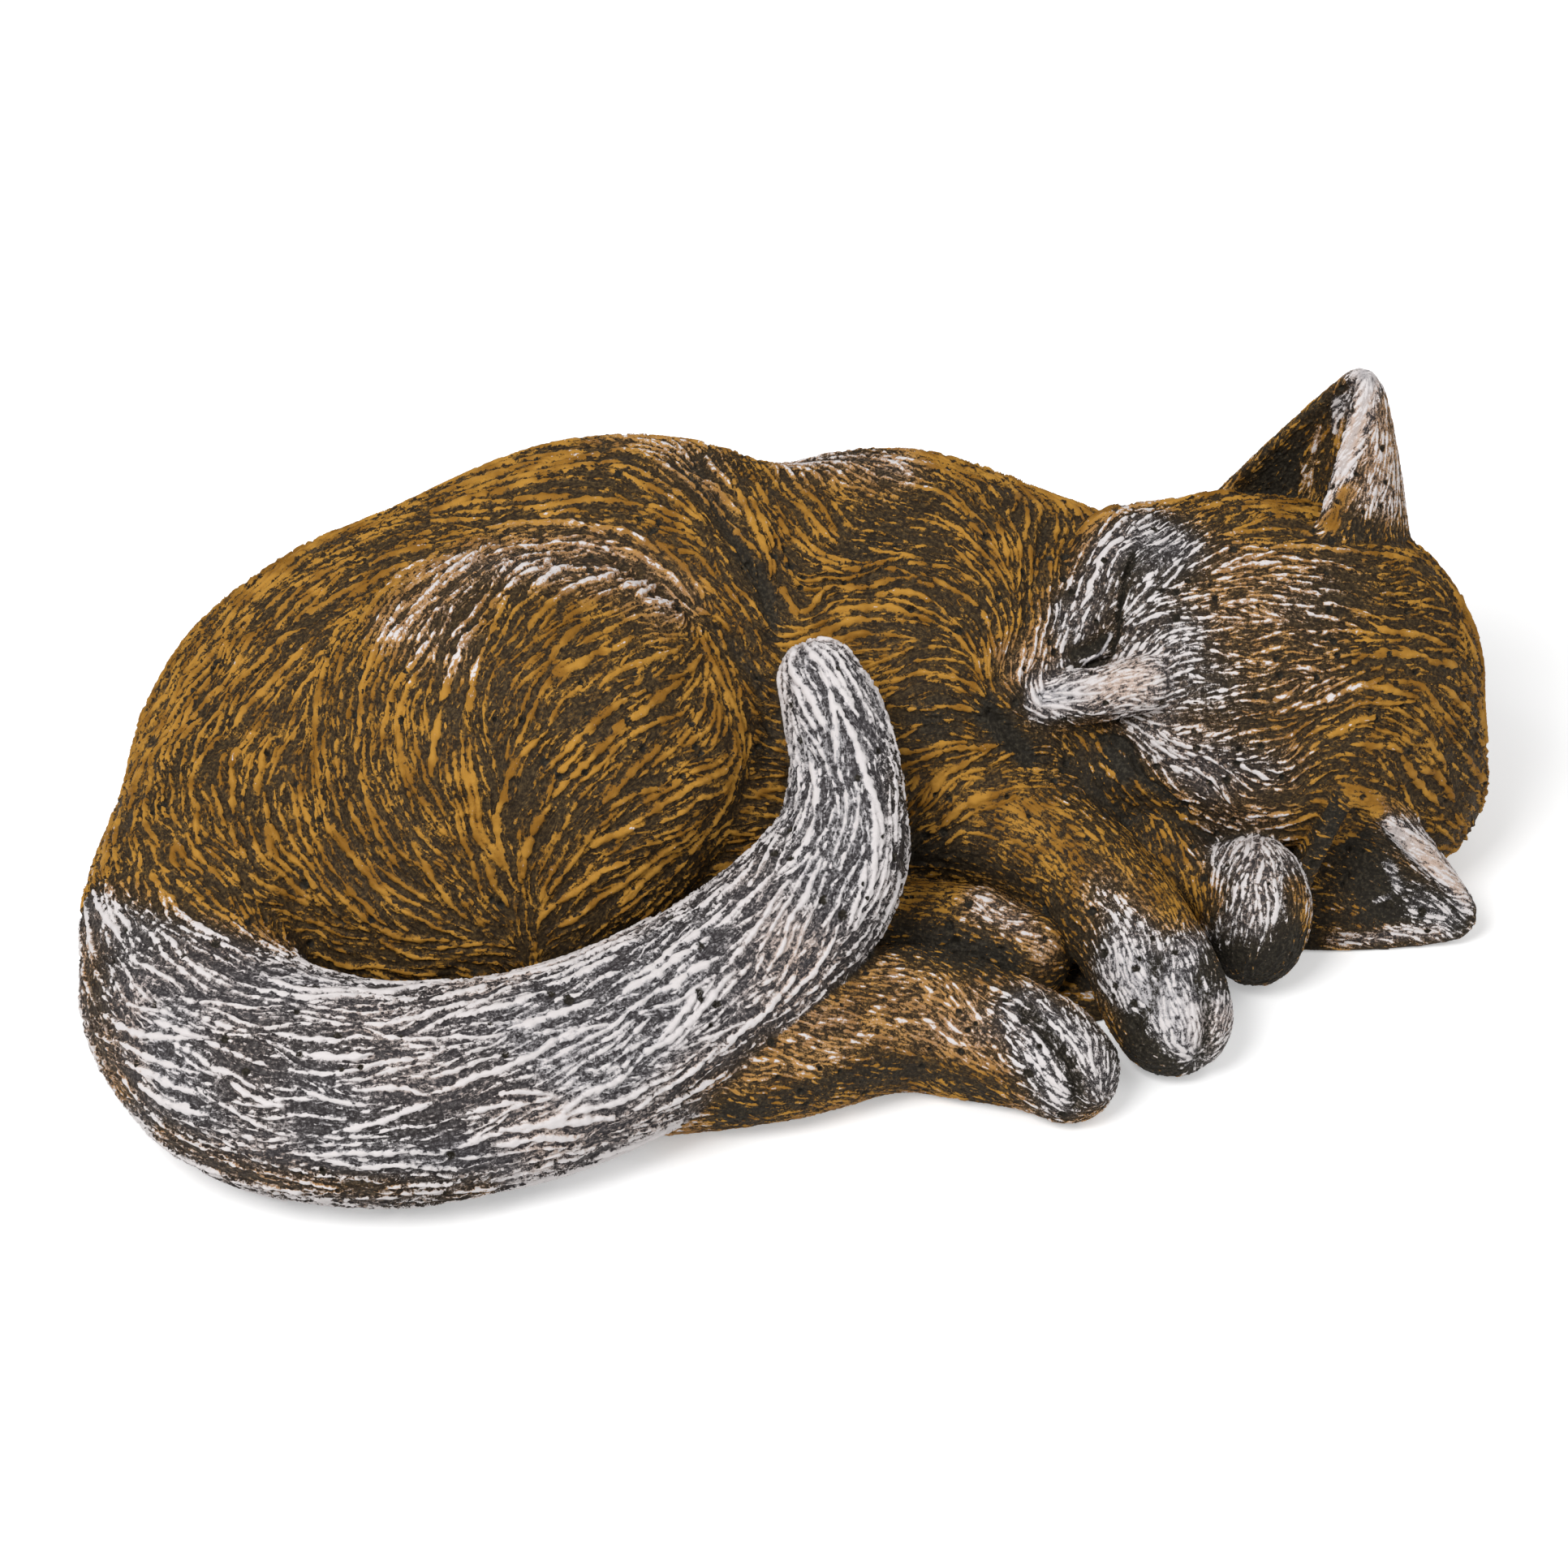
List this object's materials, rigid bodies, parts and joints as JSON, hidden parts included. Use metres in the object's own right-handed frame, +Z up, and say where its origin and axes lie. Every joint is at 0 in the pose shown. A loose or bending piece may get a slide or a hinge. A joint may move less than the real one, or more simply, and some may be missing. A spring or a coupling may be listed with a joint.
{
  "type": "sleeping cat garden statue",
  "caption": "Life-size sleeping cat in cast stone, curled with its tail round its haunch and its head on its paws, hand painted, for a garden or shelf.",
  "frame": {"origin": "on the ground, under the middle of the statue's box", "axes": "+X towards the head end, along the longest side; +Y towards the cat's back; +Z up"},
  "size_m": [0.3428, 0.216, 0.1224],
  "materials": {
    "stone_ochre": "cast stone, dark stain with ochre dry-brushed on the fur",
    "stone_white": "cast stone, dark stain with white dry-brushed on the fur",
    "stone_dark": "cast stone, dark stain with little dry-brushing"
  },
  "bodies": {
    "root": {"torso": "stone_ochre", "haunch": "stone_ochre", "tail": "stone_white", "hind_foot": "stone_ochre", "hind_foot_far": "stone_dark", "foreleg": "stone_ochre", "forepaw_far": "stone_white", "head": "stone_ochre", "ear_upper": "stone_white", "ear_lower": "stone_white"}
  },
  "joints": []
}
